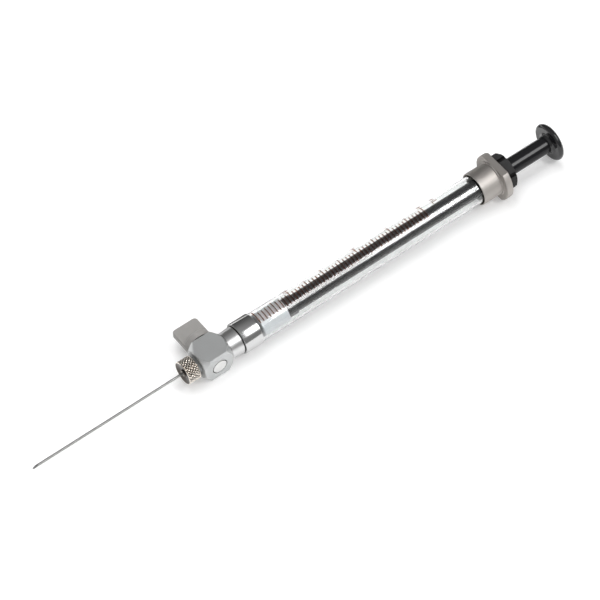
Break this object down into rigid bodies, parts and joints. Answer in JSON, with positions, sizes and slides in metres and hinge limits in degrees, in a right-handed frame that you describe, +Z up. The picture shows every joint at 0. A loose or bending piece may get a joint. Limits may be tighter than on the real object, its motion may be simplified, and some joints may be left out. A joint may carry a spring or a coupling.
{
  "type": "microsyringe",
  "caption": "Gastight glass microsyringe with a graduated barrel, a rotary lever valve, a removable bevelled needle, a finger flange and a black plunger.",
  "frame": {"origin": "on the syringe's axis, where the cannula leaves the front face of the needle nut", "axes": "+X along the barrel towards the plunger knob, +Z up through the flats of the finger flange, +Y towards the valve lever"},
  "size_m": [0.1845, 0.0203, 0.012],
  "materials": {
    "needle_steel": "bright drawn stainless steel tube",
    "plated_brass": "nickel-plated brass, turned",
    "white_ptfe": "white PTFE, turned",
    "knurled_nickel": "nickel-plated brass with a diamond knurl",
    "satin_steel": "fine bead-blasted stainless steel",
    "filled_ptfe": "dark graphite-filled PTFE, turned",
    "rotor_steel": "fine turned stainless steel",
    "lever_metal": "warm grey matte painted metal",
    "black_oxide": "black oxide steel",
    "polished_chrome": "mirror-polished chrome plate",
    "clear_glass": "clear borosilicate glass with a fired brown scale",
    "black_anodised": "black anodised aluminium",
    "black_gloss": "glossy black",
    "satin_nickel": "satin nickel plate, turned",
    "black_rubber": "black rubber",
    "black_matte": "matte black finish"
  },
  "bodies": {
    "barrel": {"glass_barrel": "clear_glass", "needle_cannula": "needle_steel", "needle_hub": "plated_brass", "needle_seal": "white_ptfe", "needle_nut": "knurled_nickel", "valve_body": "satin_steel", "rotor_sleeve": "filled_ptfe", "friction_washer": "white_ptfe", "barrel_neck": "satin_steel", "front_gasket": "white_ptfe", "front_ferrule": "polished_chrome", "rear_ferrule": "satin_nickel", "rear_gasket": "black_rubber", "guide_bush": "white_ptfe", "guide_nut": "black_matte"},
    "plunger": {"piston": "white_ptfe", "piston_coupling": "black_anodised", "plunger_rod": "black_gloss", "plunger_knob": "black_gloss"},
    "lever": {"valve_lever": "lever_metal", "valve_rotor": "rotor_steel", "lever_screw": "black_oxide"}
  },
  "joints": [
    {"name": "plunger_slide", "type": "slide", "parent": "barrel", "child": "plunger", "axis": [1, 0, 0], "range_m": [0, 0.06]},
    {"name": "valve_turn", "type": "hinge", "parent": "barrel", "child": "lever", "pos_m": [0.0097, 0, 0], "axis": [0, 1, 0], "range_deg": [0, 90]}
  ]
}
